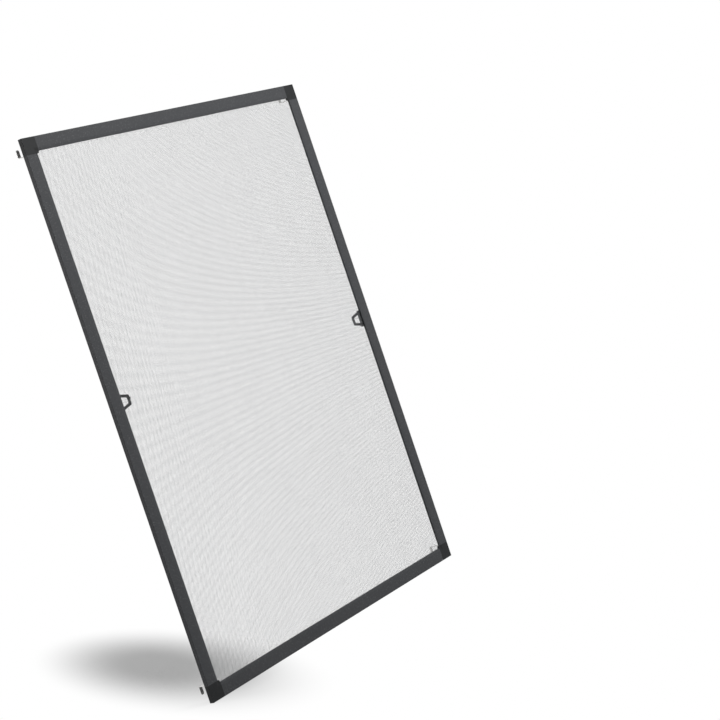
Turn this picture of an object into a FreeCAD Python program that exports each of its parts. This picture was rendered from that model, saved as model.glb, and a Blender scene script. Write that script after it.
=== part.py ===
import FreeCAD, Part
import os
import Sketcher

from FreeCAD import Placement, Rotation, Vector

# Insect screen for a window: a frame of four hollow aluminium rails on moulded corner
# pieces, with a fibreglass screen pressed into its groove by a round cord, two pull
# loops at mid height and four spring-steel hooks that hang it on the window.
# Millimetres. X is the width, Z the height, and +Y points into the room. The origin is
# the middle of the frame, in the plane of the room-side faces that meet the window.

os.makedirs("parts", exist_ok=True)
doc = FreeCAD.newDocument("window_screen_frame")

# The driving dimensions
SIZES = {
    "frame_width": 740.0,
    "frame_height": 1000.0,
    # rail: a hollow box with a grooved flange on the side of the opening
    "rail_depth": 9.0,
    "box_width": 20.0,
    "box_wall": 1.3,
    "groove_width": 3.8,
    "groove_floor": 1.5,
    "lip_wall": 1.5,
    "lip_height": 4.6,
    "bevel_depth": 0.8,
    "edge_radius": 0.5,
    # corner piece
    "corner_plate": 10.0,
    "gusset_radius": 3.5,
    "spigot_length": 28.0,
    "spigot_clearance": 0.15,
    "spigot_chamfer": 1.0,
    "recess_depth": 6.0,
    "recess_margin": 2.3,
    "recess_end_wall": 5.2,
    "recess_step_wall": 3.7,
    "recess_radius": 1.2,
    # hook, a strip bent from flat stock
    "strip_width": 7.0,
    "strip_thickness": 0.8,
    "strip_clearance": 0.05,
    "hook_inset": 14.0,
    "hook_tail": 6.5,
    "hook_collar": 0.4,
    "hook_drop": 2.0,
    "hook_reach": 25.0,
    "hook_leg": 15.0,
    "bend_radius": 0.8,
    "tip_radius": 2.8,
    # screen cloth: one thin wall opened by a plain grid, with ridges for its threads on
    # the bars between the openings
    "cloth_thickness": 0.3,
    "cloth_edge": 0.8,
    "gap_columns": 9.0,
    "gap_rows": 12.0,
    "bar_width": 12.0,
    "ridges_per_bar": 3.0,
    "ridge_pitch": 4.0,
    "ridge_width": 1.2,
    "ridge_height": 0.3,
    # retaining cord
    "cord_diameter": 3.0,
    "cord_clearance": 0.1,
    # pull loop
    "pull_left_height": 27.5,
    "pull_right_height": 12.0,
    "pull_base_length": 33.0,
    "pull_base_overhang": 3.0,
    "pull_foot_inset": 1.2,
    "pull_clearance": 0.1,
    "pull_bar": 5.0,
    "pull_bar_depth": 2.8,
    "pull_root": 32.0,
    "pull_tip": 18.0,
    "pull_reach": 24.5,
    "pull_edge_chamfer": 0.5,
    "pull_corner_radius": 3.0,
    "nub_diameter": 4.0,
    "nub_overhang": 1.2,
    "nub_lift": 3.0,
}

# Lengths that follow from them, each in a cell of its own
WORKING_LENGTHS = {
    "corner_side": "=box_width + corner_plate",
    "column_pitch": "=(frame_width - 2 * corner_side) / gap_columns",
    "row_pitch": "=(frame_height - 2 * corner_side) / gap_rows",
}

sheet = doc.addObject("Spreadsheet::Sheet", "sizes")
for row, (name, size) in enumerate((SIZES | WORKING_LENGTHS).items(), start=1):
    sheet.set(f"A{row}", name)
    sheet.set(f"B{row}", str(size))
    sheet.setAlias(f"B{row}", name)
doc.recompute()


def cells(text):
    """Points each bracketed name in a formula at that size's cell."""
    return text.replace("[", "sizes.").replace("]", "")


def value(text):
    """The number that a formula gives."""
    result = sheet.evalExpression(cells(text))
    return float(getattr(result, "Value", result))


def bind(item, target, text):
    item.setExpression(target, cells(text))


def place(item, x="0", y="0", z="0", axis=(0, 0, 1), turn=0):
    """Puts a sub-part at a bound place, turned about an axis."""
    item.Placement = Placement(Vector(), Rotation(Vector(*axis), turn))
    for letter, text in zip("xyz", (x, y, z)):
        bind(item, f"Placement.Base.{letter}", text)


# Working lengths that several sub-parts share, from the outer edge of the frame inwards,
# and from the weather face towards the room
FLANGE_WIDTH = "([groove_width] + [lip_wall])"
LIP_INSIDE = "([box_width] + [groove_width])"
CLOTH_TOP = "([lip_height] + [cloth_thickness])"
HALF_WIDTH = "([frame_width] / 2)"
HALF_HEIGHT = "([frame_height] / 2)"


def new_body(label):
    body = doc.addObject("PartDesign::Body", label)
    body.Label = label
    return body


def sketch_on(body, role, name, offset="0"):
    """A sketch on one of the body's own origin planes, moved along its normal."""
    sketch = body.newObject("Sketcher::SketchObject", name)
    plane = next(item for item in body.Origin.OriginFeatures if item.Role == role)
    sketch.AttachmentSupport = [(plane, "")]
    sketch.MapMode = "FlatFace"
    bind(sketch, "AttachmentOffset.Base.z", offset)
    return sketch


def outline(sketch, corners):
    """Draws a closed outline whose corners are bound to formulas, one pair for each."""
    places = [Vector(value(across), value(up), 0) for across, up in corners]
    first = sketch.GeometryCount
    for start, end in zip(places, places[1:] + places[:1]):
        sketch.addGeometry(Part.LineSegment(start, end), False)
    count = len(corners)
    for index in range(count):
        following = first + (index + 1) % count
        sketch.addConstraint(Sketcher.Constraint("Coincident", first + index, 2, following, 1))
    for index, pair in enumerate(corners):
        for kind, axis, text in zip(("DistanceX", "DistanceY"), (-2, -1), pair):
            if text == "0":
                sketch.addConstraint(
                    Sketcher.Constraint("PointOnObject", first + index, 1, axis))
                continue
            number = sketch.addConstraint(
                Sketcher.Constraint(kind, -1, 1, first + index, 1, value(text)))
            bind(sketch, f"Constraints[{number}]", text)


def rectangle(sketch, left, low, right, high):
    outline(sketch, [(left, low), (right, low), (right, high), (left, high)])


def circle(sketch, across, up, diameter):
    """Draws a circle whose middle and diameter are bound to formulas."""
    middle = Vector(value(across), value(up), 0)
    drawn = sketch.addGeometry(
        Part.Circle(middle, Vector(0, 0, 1), value(diameter) / 2), False)
    for kind, text in (("DistanceX", across), ("DistanceY", up)):
        number = sketch.addConstraint(
            Sketcher.Constraint(kind, -1, 1, drawn, 3, value(text)))
        bind(sketch, f"Constraints[{number}]", text)
    number = sketch.addConstraint(Sketcher.Constraint("Diameter", drawn, value(diameter)))
    bind(sketch, f"Constraints[{number}]", diameter)


def feature(body, kind, name, sketch, length, backwards=False, both_ways=False):
    """A pad or pocket of a sketch. Backwards is against the sketch's normal."""
    item = body.newObject(f"PartDesign::{kind}", name)
    item.Profile = sketch
    bind(item, "Length", length)
    item.Reversed = backwards
    item.Midplane = both_ways
    return item


def dress(body, kind, name, size, chosen):
    """Rounds or chamfers the edges of the body that a test picks."""
    doc.recompute()
    base = body.Tip
    names = [f"Edge{number}" for number, edge in enumerate(base.Shape.Edges, start=1)
             if chosen(edge)]
    item = body.newObject(f"PartDesign::{kind}", name)
    item.Base = (base, names)
    bind(item, "Radius" if kind == "Fillet" else "Size", size)
    return item


def runs_along(edge, axis):
    """True for a straight edge parallel to an axis, given as 0, 1 or 2."""
    if not isinstance(edge.Curve, Part.Line):
        return False
    return abs(abs(edge.Curve.Direction[axis]) - 1) < 1e-6


def lies_at(edge, **coordinates):
    """True where the middle of the edge has these coordinates."""
    middle = edge.BoundBox.Center
    return all(abs(getattr(middle, letter) - number) < 1e-3
               for letter, number in coordinates.items())


def mirrored(source, label, **normal):
    """The same piece on the other side of the frame."""
    item = doc.addObject("Part::Mirroring", label)
    item.Label = label
    item.Source = source
    item.Normal = Vector(normal.get("x", 0), normal.get("y", 0), normal.get("z", 0))
    return item


pieces = []


# The rails: extruded aluminium, cut square. The section lies across X and Y, from the
# outer edge inwards and from the weather face towards the room
def rail(label, length, x, z, turn):
    body = new_body(label)
    section = sketch_on(body, "XY_Plane", f"{label}_section")
    outline(section, [
        ("0", "0"),
        ("[box_width]", "0"),
        (f"[box_width] + {FLANGE_WIDTH}", "[bevel_depth]"),
        (f"[box_width] + {FLANGE_WIDTH}", "[lip_height]"),
        (LIP_INSIDE, "[lip_height]"),
        (LIP_INSIDE, "[groove_floor]"),
        ("[box_width]", "[groove_floor]"),
        ("[box_width]", "[rail_depth]"),
        ("0", "[rail_depth]"),
    ])
    rectangle(section, "[box_wall]", "[box_wall]",
              "[box_width] - [box_wall]", "[rail_depth] - [box_wall]")
    feature(body, "Pad", f"{label}_bar", section, length)
    depth, width = value("[rail_depth]"), value("[box_width]")
    dress(body, "Fillet", f"{label}_edges", "[edge_radius]",
          lambda edge: runs_along(edge, 2) and (
              lies_at(edge, x=0, y=0) or lies_at(edge, x=0, y=depth)
              or lies_at(edge, x=width, y=depth)))
    place(body, x, "-[rail_depth]", z, axis=(0, 1, 0), turn=turn)
    return body


rail_left = rail("rail_left", "[frame_height] - 2 * [corner_side]",
                 f"-{HALF_WIDTH}", f"[corner_side] - {HALF_HEIGHT}", 0)
rail_bottom = rail("rail_bottom", "[frame_width] - 2 * [corner_side]",
                   f"{HALF_WIDTH} - [corner_side]", f"-{HALF_HEIGHT}", -90)
pieces += [rail_left, mirrored(rail_left, "rail_right", x=1),
           rail_bottom, mirrored(rail_bottom, "rail_top", z=1)]


# The corner pieces: moulded nylon. Two full-depth arms carry spigots for the rails, a
# grooved plate closes the angle between them, and the room side has a stepped recess
def corner(label):
    body = new_body(label)
    arms = sketch_on(body, "XZ_Plane", f"{label}_arms_outline")
    outline(arms, [
        ("0", "0"),
        ("[corner_side]", "0"),
        ("[corner_side]", "[box_width]"),
        ("[box_width]", "[box_width]"),
        ("[box_width]", "[corner_side]"),
        ("0", "[corner_side]"),
    ])
    feature(body, "Pad", f"{label}_arms", arms, "[rail_depth]", backwards=True)

    plate = sketch_on(body, "XZ_Plane", f"{label}_plate_outline")
    rectangle(plate, "[box_width]", "[box_width]", "[corner_side]", "[corner_side]")
    feature(body, "Pad", f"{label}_plate", plate, "[lip_height]", backwards=True)
    side = value("[corner_side]")
    dress(body, "Fillet", f"{label}_gusset", "[gusset_radius]",
          lambda edge: runs_along(edge, 1) and lies_at(edge, x=side, z=side))

    groove = sketch_on(body, "XZ_Plane", f"{label}_groove_outline", "-[lip_height]")
    outline(groove, [
        ("[box_width]", "[box_width]"),
        ("[corner_side]", "[box_width]"),
        ("[corner_side]", LIP_INSIDE),
        (LIP_INSIDE, LIP_INSIDE),
        (LIP_INSIDE, "[corner_side]"),
        ("[box_width]", "[corner_side]"),
    ])
    feature(body, "Pocket", f"{label}_groove", groove, "[lip_height] - [groove_floor]",
            backwards=True)

    # the weather side slopes back from the arms to the lip, as the rails do
    mouth = sketch_on(body, "XZ_Plane", f"{label}_bevel_mouth")
    rectangle(mouth, "[box_width]", "[box_width]",
              "[corner_side] + [box_width]", "[corner_side] + [box_width]")
    foot = sketch_on(body, "XZ_Plane", f"{label}_bevel_foot", "-[bevel_depth]")
    rectangle(foot, f"[box_width] + {FLANGE_WIDTH}", f"[box_width] + {FLANGE_WIDTH}",
              "[corner_side] + [box_width]", "[corner_side] + [box_width]")
    bevel = body.newObject("PartDesign::SubtractiveLoft", f"{label}_bevel")
    bevel.Profile = mouth
    bevel.Sections = [foot]
    bevel.Ruled = True

    recess = sketch_on(body, "XZ_Plane", f"{label}_recess_outline", "-[rail_depth]")
    far = "([corner_side] - [recess_end_wall])"
    step = "([box_width] - [recess_step_wall])"
    outline(recess, [
        ("[recess_margin]", "[recess_margin]"),
        (far, "[recess_margin]"),
        (far, step),
        (step, step),
        (step, far),
        ("[recess_margin]", far),
    ])
    feature(body, "Pocket", f"{label}_recess", recess, "[recess_depth]", backwards=True)
    middle = value("[rail_depth] - [recess_depth] / 2")
    dress(body, "Fillet", f"{label}_recess_corners", "[recess_radius]",
          lambda edge: runs_along(edge, 1) and lies_at(edge, y=middle))

    # spigots, a loose fit in the hollow of each rail
    low = "([box_wall] + [spigot_clearance])"
    wide = f"([box_width] - {low})"
    deep = f"([rail_depth] - {low})"
    upright = sketch_on(body, "XY_Plane", f"{label}_upright_section", "[corner_side]")
    rectangle(upright, low, low, wide, deep)
    feature(body, "Pad", f"{label}_upright_spigot", upright, "[spigot_length]")
    level = sketch_on(body, "YZ_Plane", f"{label}_level_section", "[corner_side]")
    rectangle(level, low, low, deep, wide)
    feature(body, "Pad", f"{label}_level_spigot", level, "[spigot_length]")
    tip = value("[corner_side] + [spigot_length]")
    dress(body, "Chamfer", f"{label}_spigot_tips", "[spigot_chamfer]",
          lambda edge: lies_at(edge, x=tip) or lies_at(edge, z=tip))

    # the slot that holds the tail of the hook, open to the room at the joint
    slot = sketch_on(body, "XY_Plane", f"{label}_slot_outline", "[corner_side]")
    half = "([strip_width] / 2 + [strip_clearance])"
    rectangle(slot, f"[hook_inset] - {half}",
              "[rail_depth] - [hook_tail] - [strip_clearance]",
              f"[hook_inset] + {half}", "[rail_depth]")
    feature(body, "Pocket", f"{label}_slot", slot,
            "[strip_thickness] + 2 * [strip_clearance]")

    depth = value("[rail_depth]")
    dress(body, "Fillet", f"{label}_edges", "[edge_radius]",
          lambda edge: runs_along(edge, 1) and lies_at(edge, x=0, z=0)
          or (runs_along(edge, 2) and lies_at(edge, x=0, y=0))
          or (runs_along(edge, 2) and lies_at(edge, x=0, y=depth))
          or (runs_along(edge, 0) and lies_at(edge, y=0, z=0))
          or (runs_along(edge, 0) and lies_at(edge, y=depth, z=0)))
    place(body, f"-{HALF_WIDTH}", "-[rail_depth]", f"-{HALF_HEIGHT}")
    return body


corner_bottom_left = corner("corner_bottom_left")
corner_top_left = mirrored(corner_bottom_left, "corner_top_left", z=1)
pieces += [corner_bottom_left, mirrored(corner_bottom_left, "corner_bottom_right", x=1),
           corner_top_left, mirrored(corner_top_left, "corner_top_right", x=1)]


# The hooks: spring-steel strip. The tail lies in the corner's slot, a short slope leads
# to the arm over the edge of the window, and the leg grips behind it
def hook(label):
    body = new_body(label)
    side = sketch_on(body, "YZ_Plane", f"{label}_side")
    lean = "[strip_thickness] * tan(22.5)"
    top = "-[strip_clearance]"
    arm = f"({top} - [hook_drop])"
    outline(side, [
        ("-[hook_tail]", top),
        ("[hook_collar]", top),
        ("[hook_collar] + [hook_drop]", arm),
        ("[hook_reach]", arm),
        ("[hook_reach]", f"{arm} - [hook_leg]"),
        ("[hook_reach] - [strip_thickness]", f"{arm} - [hook_leg]"),
        ("[hook_reach] - [strip_thickness]", f"{arm} - [strip_thickness]"),
        (f"[hook_collar] + [hook_drop] - {lean}", f"{arm} - [strip_thickness]"),
        (f"[hook_collar] - {lean}", f"{top} - [strip_thickness]"),
        ("-[hook_tail]", f"{top} - [strip_thickness]"),
    ])
    feature(body, "Pad", f"{label}_strip", side, "[strip_width]", both_ways=True)

    corners = [(value(y), value(z)) for y, z in (
        ("[hook_collar]", top),
        (f"[hook_collar] + [hook_drop] - {lean}", f"{arm} - [strip_thickness]"),
        ("[hook_reach]", arm),
    )]
    dress(body, "Fillet", f"{label}_outer_bends", "[bend_radius] + [strip_thickness]",
          lambda edge: runs_along(edge, 0) and any(
              lies_at(edge, y=y, z=z) for y, z in corners))
    corners = [(value(y), value(z)) for y, z in (
        (f"[hook_collar] - {lean}", f"{top} - [strip_thickness]"),
        ("[hook_collar] + [hook_drop]", arm),
        ("[hook_reach] - [strip_thickness]", f"{arm} - [strip_thickness]"),
    )]
    dress(body, "Fillet", f"{label}_inner_bends", "[bend_radius]",
          lambda edge: runs_along(edge, 0) and any(
              lies_at(edge, y=y, z=z) for y, z in corners))
    end = value(f"{arm} - [hook_leg]")
    dress(body, "Fillet", f"{label}_tip", "[tip_radius]",
          lambda edge: runs_along(edge, 1) and lies_at(edge, z=end))
    place(body, f"[hook_inset] - {HALF_WIDTH}", "0", f"[corner_side] - {HALF_HEIGHT}")
    return body


hook_bottom_left = hook("hook_bottom_left")
hook_top_left = mirrored(hook_bottom_left, "hook_top_left", z=1)
pieces += [hook_bottom_left, mirrored(hook_bottom_left, "hook_bottom_right", x=1),
           hook_top_left, mirrored(hook_top_left, "hook_top_right", x=1)]


# The screen cloth: coated fibreglass, pulled over the lip and pressed down into the
# groove. Its fine mesh is drawn as a plain grid: each bar stands for a band of threads,
# and the ridges on it run as they do
def screen(label):
    body = new_body(label)

    def ring(name, inner, outer, length):
        """A wall of cloth round the frame, between two distances from its outer edge."""
        sketch = sketch_on(body, "XZ_Plane", f"{label}_{name}_outline", "-[groove_floor]")
        for inset in (outer, inner):
            across, up = f"({HALF_WIDTH} - {inset})", f"({HALF_HEIGHT} - {inset})"
            rectangle(sketch, f"-{across}", f"-{up}", across, up)
        feature(body, "Pad", f"{label}_{name}", sketch, length, backwards=True)

    face = sketch_on(body, "XZ_Plane", f"{label}_face_outline", "-[lip_height]")
    inset = f"({LIP_INSIDE} - [cloth_thickness])"
    across, up = f"({HALF_WIDTH} - {inset})", f"({HALF_HEIGHT} - {inset})"
    rectangle(face, f"-{across}", f"-{up}", across, up)
    feature(body, "Pad", f"{label}_face", face, "[cloth_thickness]", backwards=True)
    ring("lip_side", LIP_INSIDE, inset, "[lip_height] - [groove_floor]")
    ring("floor", LIP_INSIDE, "[box_width]", "[cloth_thickness]")
    ring("cut_edge", "([box_width] + [cloth_thickness])", "[box_width]",
         f"{CLOTH_TOP} + [cloth_edge] - [groove_floor]")

    def repeat(name, first, sketch, steps):
        """Repeats a feature along axes of its sketch, each with its pitch and count."""
        patterns = []
        for number, (axis, pitch, count) in enumerate(steps, start=1):
            pattern = body.newObject("PartDesign::LinearPattern", f"{label}_{name}_{number}")
            pattern.Direction = (sketch, [axis])
            pattern.Mode = "Spacing"
            bind(pattern, "Offset", pitch)
            bind(pattern, "Occurrences", count)
            patterns.append(pattern)
        grid = body.newObject("PartDesign::MultiTransform", f"{label}_{name}")
        grid.Originals = [first]
        grid.Transformations = patterns
        body.Tip = grid

    # ridges along the middle of each bar, upright on the weather side and level inside
    side = "((1 - [ridges_per_bar]) * [ridge_pitch] / 2)"
    half = "[ridge_width] / 2"
    left = f"((2 - [gap_columns]) * [column_pitch] / 2 + {side})"
    end = f"({HALF_HEIGHT} - [corner_side])"
    upright = sketch_on(body, "XZ_Plane", f"{label}_upright_ridge_outline", "-[lip_height]")
    rectangle(upright, f"{left} - {half}", f"-{end}", f"{left} + {half}", end)
    first = feature(body, "Pad", f"{label}_first_upright_ridge", upright, "[ridge_height]")
    repeat("upright_ridges", first, upright, [
        ("H_Axis", "[ridge_pitch]", "[ridges_per_bar]"),
        ("H_Axis", "[column_pitch]", "[gap_columns] - 1")])

    low = f"((2 - [gap_rows]) * [row_pitch] / 2 + {side})"
    end = f"({HALF_WIDTH} - [corner_side])"
    level = sketch_on(body, "XZ_Plane", f"{label}_level_ridge_outline", f"-{CLOTH_TOP}")
    rectangle(level, f"-{end}", f"{low} - {half}", end, f"{low} + {half}")
    first = feature(body, "Pad", f"{label}_first_level_ridge", level, "[ridge_height]",
                    backwards=True)
    repeat("level_ridges", first, level, [
        ("V_Axis", "[ridge_pitch]", "[ridges_per_bar]"),
        ("V_Axis", "[row_pitch]", "[gap_rows] - 1")])

    # the openings between the bars
    left = "((1 - [gap_columns]) * [column_pitch] / 2)"
    low = "((1 - [gap_rows]) * [row_pitch] / 2)"
    half_across = "([column_pitch] - [bar_width]) / 2"
    half_up = "([row_pitch] - [bar_width]) / 2"
    gap = sketch_on(body, "XZ_Plane", f"{label}_gap_outline", "-[lip_height]")
    rectangle(gap, f"{left} - {half_across}", f"{low} - {half_up}",
              f"{left} + {half_across}", f"{low} + {half_up}")
    first = feature(body, "Pocket", f"{label}_first_gap", gap, "[cloth_thickness]")
    repeat("gaps", first, gap, [
        ("H_Axis", "[column_pitch]", "[gap_columns]"),
        ("V_Axis", "[row_pitch]", "[gap_rows]")])
    place(body, "0", "-[rail_depth]", "0")
    return body


pieces.append(screen("screen_cloth"))


# The retaining cord: round PVC, one length in each groove, the level ones between the
# upright ones. Its length is cut to the groove, inside the turned-up edge of the cloth
CORD_MIDDLE = "([box_width] + [groove_width] / 2)"
CORD_DEPTH = ("([groove_floor] + [cloth_thickness] + [cord_clearance] / 2"
              " + [cord_diameter] / 2 - [rail_depth])")
CORD_END = "([box_width] + [cloth_thickness] + [cord_clearance])"


def cord(label, half_side, end, x, z, axis, turn):
    item = doc.addObject("Part::Cylinder", label)
    item.Label = label
    bind(item, "Radius", "[cord_diameter] / 2")
    bind(item, "Height", f"2 * ({half_side} - {end})")
    place(item, x, CORD_DEPTH, z, axis, turn)
    return item


upright_side = f"({CORD_MIDDLE} + [cord_diameter] / 2 + [cord_clearance])"
cord_left = cord("cord_left", HALF_HEIGHT, CORD_END, f"{CORD_MIDDLE} - {HALF_WIDTH}",
                 f"{CORD_END} - {HALF_HEIGHT}", (0, 0, 1), 0)
cord_bottom = cord("cord_bottom", HALF_WIDTH, upright_side,
                   f"{upright_side} - {HALF_WIDTH}", f"{CORD_MIDDLE} - {HALF_HEIGHT}",
                   (0, 1, 0), 90)
pieces += [cord_left, mirrored(cord_left, "cord_right", x=1),
           cord_bottom, mirrored(cord_bottom, "cord_top", z=1)]


# The pull loops: moulded nylon. The base sits in the angle between the box of the rail
# and the cloth on the lip, and the loop reaches into the opening, clear of the cloth. A
# round nub stands on the crossbar, towards the weather side
def pull(label, height):
    body = new_body(label)
    edge = f"({FLANGE_WIDTH} + [pull_base_overhang])"
    low = f"({CLOTH_TOP} + [cloth_edge] + [pull_clearance])"
    top = f"({low} + [pull_bar_depth])"
    base = sketch_on(body, "XY_Plane", f"{label}_base_section")
    outline(base, [
        ("0", low),
        ("[pull_foot_inset]", low),
        ("[pull_foot_inset]", CLOTH_TOP),
        (edge, CLOTH_TOP),
        (edge, top),
        ("0", top),
    ])
    feature(body, "Pad", f"{label}_base", base, "[pull_base_length]", both_ways=True)

    # the loop narrows from its root on the base to its tip
    root, tip = "([pull_root] / 2)", "([pull_tip] / 2)"
    start = "[pull_foot_inset]"
    end = f"({FLANGE_WIDTH} + [pull_reach])"
    slope = f"(({root} - {tip}) / ({end} - {start}))"
    bar = f"([pull_bar] * sqrt(1 + {slope} * {slope}))"
    inner_end = f"({end} - [pull_bar])"
    inner_root = f"({root} - {slope} * ({edge} - {start}) - {bar})"
    inner_tip = f"({root} - {slope} * ({inner_end} - {start}) - {bar})"
    loop = sketch_on(body, "XZ_Plane", f"{label}_loop_outline", f"-{low}")
    outline(loop, [(start, f"-{root}"), (end, f"-{tip}"), (end, tip), (start, root)])
    feature(body, "Pad", f"{label}_loop", loop, "[pull_bar_depth]", backwards=True)
    finger = sketch_on(body, "XZ_Plane", f"{label}_finger_gap_outline", f"-{low}")
    outline(finger, [(edge, f"-{inner_root}"), (inner_end, f"-{inner_tip}"),
                     (inner_end, inner_tip), (edge, inner_root)])
    feature(body, "Pocket", f"{label}_finger_gap", finger, "[pull_bar_depth]")
    outer, inner = value(end), value(inner_end)
    dress(body, "Fillet", f"{label}_tip_corners", "[pull_corner_radius]",
          lambda edge: runs_along(edge, 1) and (
              lies_at(edge, x=outer) or lies_at(edge, x=inner)))
    past_base = value(edge)
    levels = (value(low), value(top))
    dress(body, "Chamfer", f"{label}_edges", "[pull_edge_chamfer]",
          lambda edge: edge.BoundBox.Center.x > past_base + 0.01 and any(
              edge.BoundBox.YLength < 1e-6 and lies_at(edge, y=y) for y in levels))

    nub_face = f"({CLOTH_TOP} + [ridge_height] + [pull_clearance])"
    nub = sketch_on(body, "XZ_Plane", f"{label}_nub_outline", f"-{nub_face}")
    circle(nub, f"{end} + [nub_overhang] - [nub_diameter] / 2", "[nub_lift]", "[nub_diameter]")
    feature(body, "Pad", f"{label}_nub", nub, f"{top} - [pull_edge_chamfer] - {nub_face}",
            backwards=True)
    place(body, f"[box_width] - {HALF_WIDTH}", "-[rail_depth]", height)
    return body


before_mirror = pull("pull_right_before_mirror", "[pull_right_height]")
pieces += [pull("pull_left", "[pull_left_height]"),
           mirrored(before_mirror, "pull_right", x=1)]

doc.recompute()
failed = [item.Name for item in doc.Objects
          if {"Invalid", "Error"} & set(item.State)]
if failed:
    raise RuntimeError(f"these objects failed: {failed}")
for piece in pieces:
    if piece.Shape.isNull() or not piece.Shape.isValid():
        raise RuntimeError(f"{piece.Label} has no valid shape")
    if len(piece.Shape.Solids) != 1:
        raise RuntimeError(f"{piece.Label} has {len(piece.Shape.Solids)} solids")
for piece in pieces:
    piece.Shape.exportStep(f"parts/{piece.Label}.step")
    print(piece.Label, round(piece.Shape.Volume / 1000, 2), "cubic centimetres")
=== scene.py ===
import math

import bpy
import numpy as np
from mathutils import Matrix, Vector


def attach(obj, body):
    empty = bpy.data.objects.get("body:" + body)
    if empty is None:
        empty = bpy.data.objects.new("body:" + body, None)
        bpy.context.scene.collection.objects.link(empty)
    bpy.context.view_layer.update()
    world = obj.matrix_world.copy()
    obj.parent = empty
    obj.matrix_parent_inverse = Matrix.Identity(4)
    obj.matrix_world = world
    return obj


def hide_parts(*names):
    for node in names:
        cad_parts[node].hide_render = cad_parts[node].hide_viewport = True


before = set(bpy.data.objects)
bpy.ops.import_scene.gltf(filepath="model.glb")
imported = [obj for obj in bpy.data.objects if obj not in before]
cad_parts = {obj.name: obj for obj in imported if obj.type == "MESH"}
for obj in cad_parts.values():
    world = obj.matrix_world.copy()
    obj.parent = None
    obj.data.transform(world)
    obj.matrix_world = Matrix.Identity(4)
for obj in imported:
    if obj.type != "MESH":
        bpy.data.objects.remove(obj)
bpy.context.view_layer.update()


# The rails are hollow aluminium extrusions, cut square and coated with anthracite
# powder. The powder is baked to a matt skin with a fine grain and a few paler flecks,
# and a painted highlight makes it a little paler along the rounded edges.
def linear(hex_colour):
    """An sRGB hex colour as the linear colour that a node takes."""
    channels = [int(hex_colour[i:i + 2], 16) / 255 for i in (1, 3, 5)]
    return [c / 12.92 if c <= 0.04045 else ((c + 0.055) / 1.055) ** 2.4
            for c in channels] + [1.0]


def add_node(material, kind, settings=None, inputs=None):
    """Adds a node. An input's value is a number, a colour or another node's output."""
    node = material.node_tree.nodes.new("ShaderNode" + kind)
    for name, setting in (settings or {}).items():
        setattr(node, name, setting)
    for name, given in (inputs or {}).items():
        socket = node.inputs[name]
        if isinstance(given, bpy.types.NodeSocket):
            material.node_tree.links.new(given, socket)
        else:
            socket.default_value = given
    return node


def bare_material(name):
    material = bpy.data.materials.new(name)
    material.use_nodes = True
    material.node_tree.nodes.clear()
    return material


def rounded_edge_and_highlight(material, radius):
    """The normal of softly rounded edges, and a mask that is 1 on those edges, for a painted
    highlight along them.
    """
    rounded = add_node(material, "Bevel", {"samples": 6}, {"Radius": radius})
    flat = add_node(material, "NewGeometry")
    turned = add_node(material, "VectorMath", {"operation": "DOT_PRODUCT"},
                      {0: rounded.outputs["Normal"], 1: flat.outputs["True Normal"]})
    mask = add_node(material, "MapRange", None,
                    {"Value": turned.outputs["Value"], "From Min": 0.995,
                     "From Max": 0.82, "To Min": 0.0, "To Max": 1.0})
    return rounded.outputs["Normal"], mask.outputs["Result"]


def dress(node_name, material):
    """Gives a carried-over node one material."""
    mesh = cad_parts[node_name].data
    mesh.materials.clear()
    mesh.materials.append(material)


powder_coat = bare_material("powder_coated_aluminium")
place = add_node(powder_coat, "TexCoord").outputs["Object"]
soft_normal, edge_highlight_mask = rounded_edge_and_highlight(powder_coat, 0.00035)
# grain of the baked powder, about 0.7 mm across
grain = add_node(powder_coat, "TexNoise", None,
                 {"Vector": place, "Scale": 1 / 0.0014, "Detail": 3.0, "Roughness": 0.6})
# paler flecks, one every few millimetres
fleck = add_node(powder_coat, "TexNoise", None,
                 {"Vector": place, "Scale": 1 / 0.0022, "Detail": 1.0, "Roughness": 0.5})
fleck_spots = add_node(powder_coat, "MapRange", None,
                       {"Value": fleck.outputs["Fac"], "From Min": 0.60, "From Max": 0.72,
                        "To Min": 0.0, "To Max": 1.0})
# slow clouding of the coat's thickness along the rail
cloud = add_node(powder_coat, "TexNoise", None,
                 {"Vector": place, "Scale": 1 / 0.12, "Detail": 2.0, "Roughness": 0.5})
body_colour = add_node(powder_coat, "Mix", {"data_type": "RGBA"},
                       {"Factor": cloud.outputs["Fac"],
                        "A": linear("#404143"), "B": linear("#494a4c")})
grained = add_node(powder_coat, "Mix", {"data_type": "RGBA"},
                   {"Factor": grain.outputs["Fac"],
                    "A": linear("#393a3c"), "B": body_colour.outputs["Result"]})
flecked = add_node(powder_coat, "Mix", {"data_type": "RGBA"},
                   {"Factor": fleck_spots.outputs["Result"],
                    "A": grained.outputs["Result"], "B": linear("#5a5b5d")})
# painted highlight: the coat goes a fifth of the way to a paler grey along its rounded edges
edge_highlight_share = add_node(powder_coat, "Math", {"operation": "MULTIPLY"},
                      {0: edge_highlight_mask, 1: 0.2})
coat_colour = add_node(powder_coat, "Mix", {"data_type": "RGBA"},
                       {"Factor": edge_highlight_share.outputs["Value"],
                        "A": flecked.outputs["Result"], "B": linear("#606163")})
coat_roughness = add_node(powder_coat, "MapRange", None,
                          {"Value": grain.outputs["Fac"], "To Min": 0.40, "To Max": 0.56})
coat_bump = add_node(powder_coat, "Bump", None,
                     {"Height": grain.outputs["Fac"], "Strength": 0.35,
                      "Distance": 0.0002, "Normal": soft_normal})
# the grain breaks up most of the gloss, so the specular level is low
coat_shader = add_node(powder_coat, "BsdfPrincipled", None,
                       {"Base Color": coat_colour.outputs["Result"],
                        "Roughness": coat_roughness.outputs["Result"], "IOR": 1.5,
                        "Specular IOR Level": 0.12, "Normal": coat_bump.outputs["Normal"]})
add_node(powder_coat, "OutputMaterial", None, {"Surface": coat_shader.outputs["BSDF"]})
for rail in ("rail_left", "rail_right", "rail_bottom", "rail_top"):
    dress(rail, powder_coat)


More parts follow.
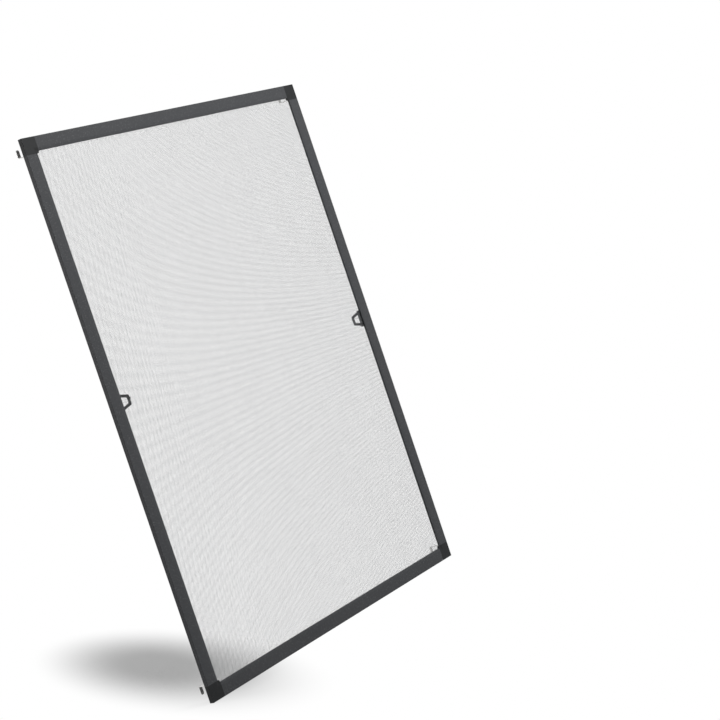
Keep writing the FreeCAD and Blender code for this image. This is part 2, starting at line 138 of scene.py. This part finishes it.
# The corner pieces are moulded from glass-filled nylon in a spark-eroded mould, which
# leaves a fine satin grain, darker than the rails. They are pushed into the rails on
# their spigots.
nylon = bare_material("glass_filled_nylon")
place = add_node(nylon, "TexCoord").outputs["Object"]
soft_normal, edge_highlight_mask = rounded_edge_and_highlight(nylon, 0.0005)
# spark-eroded grain, 0.4 mm
erosion = add_node(nylon, "TexNoise", None,
                   {"Vector": place, "Scale": 1 / 0.0008, "Detail": 2.0, "Roughness": 0.55})
# faint flow marks of the melt, 9 mm apart
flow = add_node(nylon, "TexNoise", None,
                {"Vector": place, "Scale": 1 / 0.009, "Detail": 2.0, "Distortion": 1.2})
nylon_body = add_node(nylon, "Mix", {"data_type": "RGBA"},
                      {"Factor": flow.outputs["Fac"],
                       "A": linear("#1d1e1f"), "B": linear("#252627")})
# painted highlight: the nylon goes over halfway to a paler grey along its rounded edges
edge_highlight_share = add_node(nylon, "Math", {"operation": "MULTIPLY"}, {0: edge_highlight_mask, 1: 0.55})
nylon_colour = add_node(nylon, "Mix", {"data_type": "RGBA"},
                        {"Factor": edge_highlight_share.outputs["Value"],
                         "A": nylon_body.outputs["Result"], "B": linear("#444547")})
nylon_roughness = add_node(nylon, "MapRange", None,
                           {"Value": erosion.outputs["Fac"], "To Min": 0.42, "To Max": 0.56})
nylon_bump = add_node(nylon, "Bump", None,
                      {"Height": erosion.outputs["Fac"], "Strength": 0.25,
                       "Distance": 0.00012, "Normal": soft_normal})
nylon_shader = add_node(nylon, "BsdfPrincipled", None,
                        {"Base Color": nylon_colour.outputs["Result"],
                         "Roughness": nylon_roughness.outputs["Result"], "IOR": 1.53,
                         "Specular IOR Level": 0.12, "Normal": nylon_bump.outputs["Normal"]})
add_node(nylon, "OutputMaterial", None, {"Surface": nylon_shader.outputs["BSDF"]})
for corner in ("bottom_left", "bottom_right", "top_left", "top_right"):
    dress(f"corner_{corner}", nylon)


# The hooks are bent from spring-steel strip, blanked and tumbled. The strip keeps fine
# rolling lines along its length and has a satin shine, duller in the rolling lines.
spring_steel = bare_material("spring_steel")
place = add_node(spring_steel, "TexCoord").outputs["Object"]
soft_normal, edge_highlight_mask = rounded_edge_and_highlight(spring_steel, 0.00015)
# rolling lines run along the strip, so they are close together across its width only
along = add_node(spring_steel, "Mapping", None,
                 {"Vector": place, "Scale": (1 / 0.0003, 1 / 0.012, 1 / 0.012)})
lines = add_node(spring_steel, "TexNoise", None,
                 {"Vector": along.outputs["Vector"], "Scale": 1.0, "Detail": 3.0,
                  "Roughness": 0.6})
steel_colour = add_node(spring_steel, "Mix", {"data_type": "RGBA"},
                        {"Factor": lines.outputs["Fac"],
                         "A": linear("#b3b2b0"), "B": linear("#d2d1cf")})
steel_roughness = add_node(spring_steel, "MapRange", None,
                           {"Value": lines.outputs["Fac"], "To Min": 0.26, "To Max": 0.42})
steel_bump = add_node(spring_steel, "Bump", None,
                      {"Height": lines.outputs["Fac"], "Strength": 0.15,
                       "Distance": 0.00005, "Normal": soft_normal})
steel_shader = add_node(spring_steel, "BsdfPrincipled", None,
                        {"Base Color": steel_colour.outputs["Result"], "Metallic": 1.0,
                         "Roughness": steel_roughness.outputs["Result"],
                         "Normal": steel_bump.outputs["Normal"]})
add_node(spring_steel, "OutputMaterial", None, {"Surface": steel_shader.outputs["BSDF"]})
for hook in ("bottom_left", "bottom_right", "top_left", "top_right"):
    dress(f"hook_{hook}", spring_steel)


# The screen is glass-fibre yarn in a PVC coat, fused where the threads cross. It lies
# over the lip of the rails, goes down into the groove, and is cut off beside the box,
# where the thread ends stick up. The upright and level threads lie on each other here.
THREAD = 0.00025
THREAD_ACROSS = 0.0254 / 18  # upright threads, 18 to the inch
THREAD_UP = 0.0254 / 14  # level threads, 14 to the inch
HALF_WIDTH, HALF_HEIGHT = 0.370, 0.500
BOX_SIDE, LIP_SIDE = 0.020, 0.0238  # from the frame's outer edge
LIP_TOP, GROOVE_FLOOR, CUT_EDGE = -0.0044, -0.0075, -0.0035
THREAD_LEVEL = LIP_TOP + THREAD / 2
LIP_GAP = 0.0006  # between the end of the lying stretch of a thread and the lip's corner
SLOW_WAVE, BULGE = 0.0007, 0.0006
threads_random = np.random.default_rng(11)


def thread_mesh(name, lines, sideways, widths):
    """Threads of four sides along lines of points (thread, point, xyz)."""
    count, points = lines.shape[:2]
    along = np.gradient(lines, axis=1)
    along /= np.linalg.norm(along, axis=2, keepdims=True)
    out = np.cross(along, sideways)
    out /= np.linalg.norm(out, axis=2, keepdims=True)
    side = np.cross(out, along)
    # four sides look as wide as a round thread from all round when drawn 1.11 times as thick
    reach = (1.11 * widths / 2)[..., None]
    ring = np.stack([lines + side * reach, lines + out * reach,
                     lines - side * reach, lines - out * reach], axis=2)
    start = (np.arange(count)[:, None, None] * points + np.arange(points - 1)[None, :, None]) * 4
    corner = np.arange(4)[None, None, :]
    after = (corner + 1) % 4
    sides = np.stack([start + corner, start + after, start + after + 4, start + corner + 4],
                     axis=3).reshape(-1, 4)
    first = np.arange(count)[:, None] * points * 4
    caps = np.concatenate([first + [3, 2, 1, 0], first + (points - 1) * 4 + [0, 1, 2, 3]])
    mesh = bpy.data.meshes.new(name)
    mesh.from_pydata(ring.reshape(-1, 3).tolist(), [],
                     np.concatenate([sides, caps]).tolist())
    mesh.shade_smooth()
    piece = bpy.data.objects.new(name, mesh)
    bpy.context.scene.collection.objects.link(piece)
    return piece


def laid(upright, points, depth):
    """Threads at rest in the cloth, from lip to lip, and how thick they are."""
    half_across, half_along = HALF_WIDTH - LIP_SIDE, HALF_HEIGHT - LIP_SIDE
    pitch = THREAD_ACROSS
    if not upright:
        half_across, half_along = half_along, half_across
        pitch = THREAD_UP
    count = int(2 * half_across / pitch)
    places = (np.arange(count) - (count - 1) / 2) * pitch
    places += threads_random.normal(0, 0.015 * pitch, count)
    end = half_along - LIP_GAP
    place, run = np.meshgrid(places, np.linspace(-end, end, points), indexing="ij")
    # in fine bands, the threads are thicker and closer together, which gives the cloth the
    # waves that it shows from a few steps away. Those of the level threads, 7 to 20 mm
    # apart, cross the whole cloth and turn slowly; those of the upright ones, 7 to 12 mm
    # apart, lie on the left.
    if upright:
        turns = 208 * place + 180 * place ** 2 - 12 * run
        shift, swell = 0.00025, 0.12
        share = np.clip((-0.02 - place) / 0.2, 0, 1)
    else:
        turns = 5 * run + 82.5 * place + 112 * run * place - 23.5 * place ** 2
        shift, swell = 0.00030, 0.20
        share = 1.0
    widths = THREAD * threads_random.normal(1, 0.04, count)[:, None]
    widths = widths * (1 - swell * share * np.cos(2 * np.pi * turns))
    # a slower wave along the cloth, and a slight bulge out of its plane
    moved = shift * share * np.sin(2 * np.pi * turns)
    moved += SLOW_WAVE * np.sin(2 * np.pi * (run / 0.43 + place / 0.61))
    # the bulge dies out over the last 80 mm to the rails
    inside = np.clip((half_across - np.abs(place)) / 0.08, 0, 1)
    inside *= np.clip((half_along - np.abs(run)) / 0.08, 0, 1)
    bulge = BULGE * inside * np.sin(2 * np.pi * place / 0.37) * np.sin(2 * np.pi * run / 0.41)
    # the outermost threads keep off the lip's corner
    shifted = np.clip(place + moved, -half_across + THREAD, half_across - THREAD)
    order = [shifted, depth + bulge, run] if upright else [run, depth + bulge, shifted]
    return np.stack(order, axis=2), widths


def turned_down(lines, upright):
    """The ends of the threads, over the lip, through the groove and up to the cut."""
    half = HALF_HEIGHT if upright else HALF_WIDTH
    axis = 2 if upright else 0
    turned = []
    for side, end in ((-1, lines[:, 0]), (1, lines[:, -1])):
        ragged = threads_random.normal(0, THREAD, len(end))  # of the cut, up or down
        route = [(abs(end[0, axis]), None), (half - LIP_SIDE, None),
                 (half - LIP_SIDE + THREAD / 2, LIP_TOP - THREAD),
                 (half - LIP_SIDE + THREAD / 2, GROOVE_FLOOR + THREAD),
                 (half - LIP_SIDE + THREAD, GROOVE_FLOOR + THREAD / 2),
                 (half - BOX_SIDE - THREAD, GROOVE_FLOOR + THREAD / 2),
                 (half - BOX_SIDE - THREAD / 2, GROOVE_FLOOR + THREAD),
                 (half - BOX_SIDE - THREAD / 2, CUT_EDGE)]
        line = np.repeat(end[:, None, :], len(route), axis=1)
        for step, (reach, level) in enumerate(route):
            line[:, step, axis] = side * reach
            if level is not None:
                line[:, step, 1] = level
        line[:, -1, 1] += ragged
        turned.append(line if side > 0 else line[:, ::-1])
    return np.concatenate(turned)


screen_threads = []
# the level threads lie on the room side of the upright ones, fused into them by about half
# a thread, and they are so many that they are three pieces, one above the other
for direction, points, depth, parts in (
        ("upright", 49, THREAD_LEVEL, ("",)),
        ("level", 140, THREAD_LEVEL + 0.55 * THREAD, ("_lower", "_middle", "_upper"))):
    upright = direction == "upright"
    sideways = (1, 0, 0) if upright else (0, 0, 1)
    lines, widths = laid(upright, points, depth)
    for part, chosen in zip(parts, np.array_split(np.arange(len(lines)), len(parts))):
        screen_threads.append(thread_mesh(f"screen_{direction}_threads{part}",
                                          lines[chosen], sideways, widths[chosen]))
    screen_threads.append(thread_mesh(f"screen_turned_{direction}_threads",
                                      turned_down(lines, upright), sideways,
                                      np.concatenate([widths[:, :1], widths[:, -1:]])))

pvc_yarn = bare_material("pvc_coated_glass_yarn")
place = add_node(pvc_yarn, "TexCoord").outputs["Object"]
# the coat varies a little from place to place, 3 mm
coat_shade = add_node(pvc_yarn, "TexNoise", None,
                      {"Vector": place, "Scale": 1 / 0.003, "Detail": 2.0})
yarn_colour = add_node(pvc_yarn, "Mix", {"data_type": "RGBA"},
                       {"Factor": coat_shade.outputs["Fac"],
                        "A": linear("#66686a"), "B": linear("#7c7e80")})
yarn_shader = add_node(pvc_yarn, "BsdfPrincipled", None,
                       {"Base Color": yarn_colour.outputs["Result"], "Roughness": 0.4,
                        "IOR": 1.53})
add_node(pvc_yarn, "OutputMaterial", None, {"Surface": yarn_shader.outputs["BSDF"]})
# past the lip, the cloth goes down, across the groove's floor and up to the cut
for piece in screen_threads:
    piece.data.materials.append(pvc_yarn)
    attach(piece, "root")
    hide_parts("screen_cloth")


# The cord is soft round PVC, extruded with fine rings so that it grips in the groove.
# It is pressed in over the cloth and holds it tight.
soft_pvc = bare_material("soft_pvc_cord")
place = add_node(soft_pvc, "TexCoord").outputs["Object"]
split = add_node(soft_pvc, "SeparateXYZ", None, {"Vector": place})
length = add_node(soft_pvc, "Math", {"operation": "ADD"},
                  {0: split.outputs["X"], 1: split.outputs["Z"]})
# rings 1.2 mm apart
turns = add_node(soft_pvc, "Math", {"operation": "MULTIPLY"},
                 {0: length.outputs["Value"], 1: 2 * math.pi / 0.0012})
rings = add_node(soft_pvc, "Math", {"operation": "SINE"}, {0: turns.outputs["Value"]})
smear = add_node(soft_pvc, "TexNoise", None,
                 {"Vector": place, "Scale": 1 / 0.006, "Detail": 2.0})
cord_colour = add_node(soft_pvc, "Mix", {"data_type": "RGBA"},
                       {"Factor": smear.outputs["Fac"],
                        "A": linear("#161617"), "B": linear("#242526")})
cord_bump = add_node(soft_pvc, "Bump", None,
                     {"Height": rings.outputs["Value"], "Strength": 0.5,
                      "Distance": 0.0001})
cord_shader = add_node(soft_pvc, "BsdfPrincipled", None,
                       {"Base Color": cord_colour.outputs["Result"], "Roughness": 0.42,
                        "IOR": 1.53, "Normal": cord_bump.outputs["Normal"]})
add_node(soft_pvc, "OutputMaterial", None, {"Surface": cord_shader.outputs["BSDF"]})
for cord in ("cord_left", "cord_right", "cord_bottom", "cord_top"):
    dress(cord, soft_pvc)


# The pull loops are moulded from tough black nylon with an eroded finish. Their base is
# held in the angle of the upright rails, and a fingertip lifts the screen by the loop.
tough_nylon = bare_material("tough_black_nylon")
place = add_node(tough_nylon, "TexCoord").outputs["Object"]
soft_normal, edge_highlight_mask = rounded_edge_and_highlight(tough_nylon, 0.0006)
erosion = add_node(tough_nylon, "TexNoise", None,
                   {"Vector": place, "Scale": 1 / 0.0007, "Detail": 2.0})
# painted highlight: the nylon goes part of the way to a paler grey along its rounded edges
edge_highlight_share = add_node(tough_nylon, "Math", {"operation": "MULTIPLY"}, {0: edge_highlight_mask, 1: 0.4})
pull_colour = add_node(tough_nylon, "Mix", {"data_type": "RGBA"},
                       {"Factor": edge_highlight_share.outputs["Value"],
                        "A": linear("#131415"), "B": linear("#333436")})
pull_bump = add_node(tough_nylon, "Bump", None,
                     {"Height": erosion.outputs["Fac"], "Strength": 0.2,
                      "Distance": 0.0001, "Normal": soft_normal})
pull_shader = add_node(tough_nylon, "BsdfPrincipled", None,
                       {"Base Color": pull_colour.outputs["Result"], "Roughness": 0.48,
                        "IOR": 1.53, "Specular IOR Level": 0.3,
                        "Normal": pull_bump.outputs["Normal"]})
add_node(tough_nylon, "OutputMaterial", None, {"Surface": pull_shader.outputs["BSDF"]})
for pull in ("pull_left", "pull_right"):
    dress(pull, tough_nylon)


# The studio: a plain pale floor just under the frame, a white surround, a soft key lamp
# in front, a little high and to the right, two weak lamps at the sides, and one behind
# for the room side. At the frame's left foot and in a streak behind it, the floor shows a
# painted shadow, grey and darkened further by the lamps' shadows, and it goes over to plain
# white everywhere else.
def seen_ray(material):
    """1 for what the camera sees, straight or in a mirror or through glass."""
    ray = add_node(material, "LightPath")
    indirect = add_node(material, "Math", {"operation": "MAXIMUM"},
                        {0: ray.outputs["Is Glossy Ray"], 1: ray.outputs["Is Transmission Ray"]})
    seen = add_node(material, "Math", {"operation": "MAXIMUM"},
                    {0: ray.outputs["Is Camera Ray"], 1: indirect.outputs["Value"]})
    return seen.outputs["Value"]


floor_mesh = bpy.data.meshes.new("studio_floor")
FLOOR_REACH, FLOOR_LEVEL = 30.0, -HALF_HEIGHT - 0.0005
floor_mesh.from_pydata([(-FLOOR_REACH, -FLOOR_REACH, FLOOR_LEVEL),
                        (FLOOR_REACH, -FLOOR_REACH, FLOOR_LEVEL),
                        (FLOOR_REACH, FLOOR_REACH, FLOOR_LEVEL),
                        (-FLOOR_REACH, FLOOR_REACH, FLOOR_LEVEL)], [], [(0, 1, 2, 3)])
floor = bpy.data.objects.new("studio_floor", floor_mesh)
bpy.context.scene.collection.objects.link(floor)
white_floor = bare_material("white_studio_floor")
place = add_node(white_floor, "TexCoord").outputs["Object"]
# the painted shadow is a grey ellipse of the floor, long along the shadow's direction and narrow
# across it
painted_shadow_ellipse = add_node(white_floor, "Mapping", {"vector_type": "TEXTURE"},
                 {"Vector": place, "Location": (-0.096, 0.403, FLOOR_LEVEL),
                  "Rotation": (0.0, 0.0, math.radians(-25.8)), "Scale": (0.162, 0.79, 1.0)})
away = add_node(white_floor, "VectorMath", {"operation": "LENGTH"},
                {0: painted_shadow_ellipse.outputs["Vector"]})
# the painted shadow goes over to plain white away from its middle
painted_shadow_fade = add_node(white_floor, "MapRange", {"interpolation_type": "SMOOTHSTEP"},
                {"Value": away.outputs["Value"], "From Min": 0.19, "From Max": 1.015,
                 "To Min": 0.0, "To Max": 1.0})
floor_seen = seen_ray(white_floor)
# the floor throws less light back on the frame than its seen grey would
floor_grey = add_node(white_floor, "Mix", {"data_type": "RGBA"},
                      {"Factor": floor_seen,
                       "A": (0.2, 0.2, 0.2, 1.0), "B": (0.42, 0.42, 0.42, 1.0)})
paint = add_node(white_floor, "BsdfDiffuse", None, {"Color": floor_grey.outputs["Result"]})
glow = add_node(white_floor, "Emission", None, {"Color": (1.0, 1.0, 1.0, 1.0), "Strength": 1.0})
shown_white = add_node(white_floor, "Math", {"operation": "MULTIPLY"},
                       {0: painted_shadow_fade.outputs["Result"], 1: floor_seen})
floor_look = add_node(white_floor, "MixShader", None,
                      {"Fac": shown_white.outputs["Value"], 1: paint.outputs["BSDF"],
                       2: glow.outputs["Emission"]})
add_node(white_floor, "OutputMaterial", None, {"Surface": floor_look.outputs["Shader"]})
floor_mesh.materials.append(white_floor)

world = bpy.data.worlds.new("white_surround")
bpy.context.scene.world = world
world.use_nodes = True
world.node_tree.nodes.clear()
# seen as white, and a quarter of that as light on the frame
strength = add_node(world, "Mix", {"data_type": "FLOAT"},
                    {"Factor": seen_ray(world), "A": 0.25, "B": 1.0})
surround = add_node(world, "Background", None,
                    {"Color": (1.0, 1.0, 1.0, 1.0), "Strength": strength.outputs["Result"]})
add_node(world, "OutputWorld", None, {"Surface": surround.outputs["Background"]})

for name, spot, size, watts in (("key_lamp", (0.45, -1.9, 1.3), 0.6, 56.0),
                                ("left_lamp", (-2.3, 0.25, 0.5), 1.0, 9.0),
                                ("right_lamp", (2.6, 0.5, 0.6), 1.0, 14.0),
                                ("back_lamp", (-0.6, 2.7, 0.6), 1.2, 60.0)):
    lamp_data = bpy.data.lights.new(name, "AREA")
    lamp_data.size = size
    lamp_data.energy = watts
    lamp = bpy.data.objects.new(name, lamp_data)
    lamp.location = spot
    lamp.rotation_mode = "QUATERNION"
    lamp.rotation_quaternion = (-Vector(spot)).to_track_quat("-Z", "Y")
    bpy.context.scene.collection.objects.link(lamp)


# The camera stands on the left of the weather side, a little above the middle of the
# frame, and is rolled.
IMAGE_WIDTH, FOCAL_PIXELS = 720, 1733.6
camera_data = bpy.data.cameras.new("camera")
camera_data.sensor_width = 36.0
camera_data.lens = FOCAL_PIXELS * camera_data.sensor_width / IMAGE_WIDTH
camera_data.shift_y = -0.1
camera_data.clip_end = 200.0
camera = bpy.data.objects.new("camera", camera_data)
right, up = Vector((0.58125, -0.74817, -0.31999)), Vector((0.21504, -0.23804, 0.94715))
back = right.cross(up)
turn = Matrix((right, up, back)).transposed().to_4x4()
camera.matrix_world = Matrix.Translation((-2.36444, -2.16404, 0.14804)) @ turn
bpy.context.scene.collection.objects.link(camera)
bpy.context.scene.camera = camera
bpy.context.scene.view_settings.view_transform = "Standard"
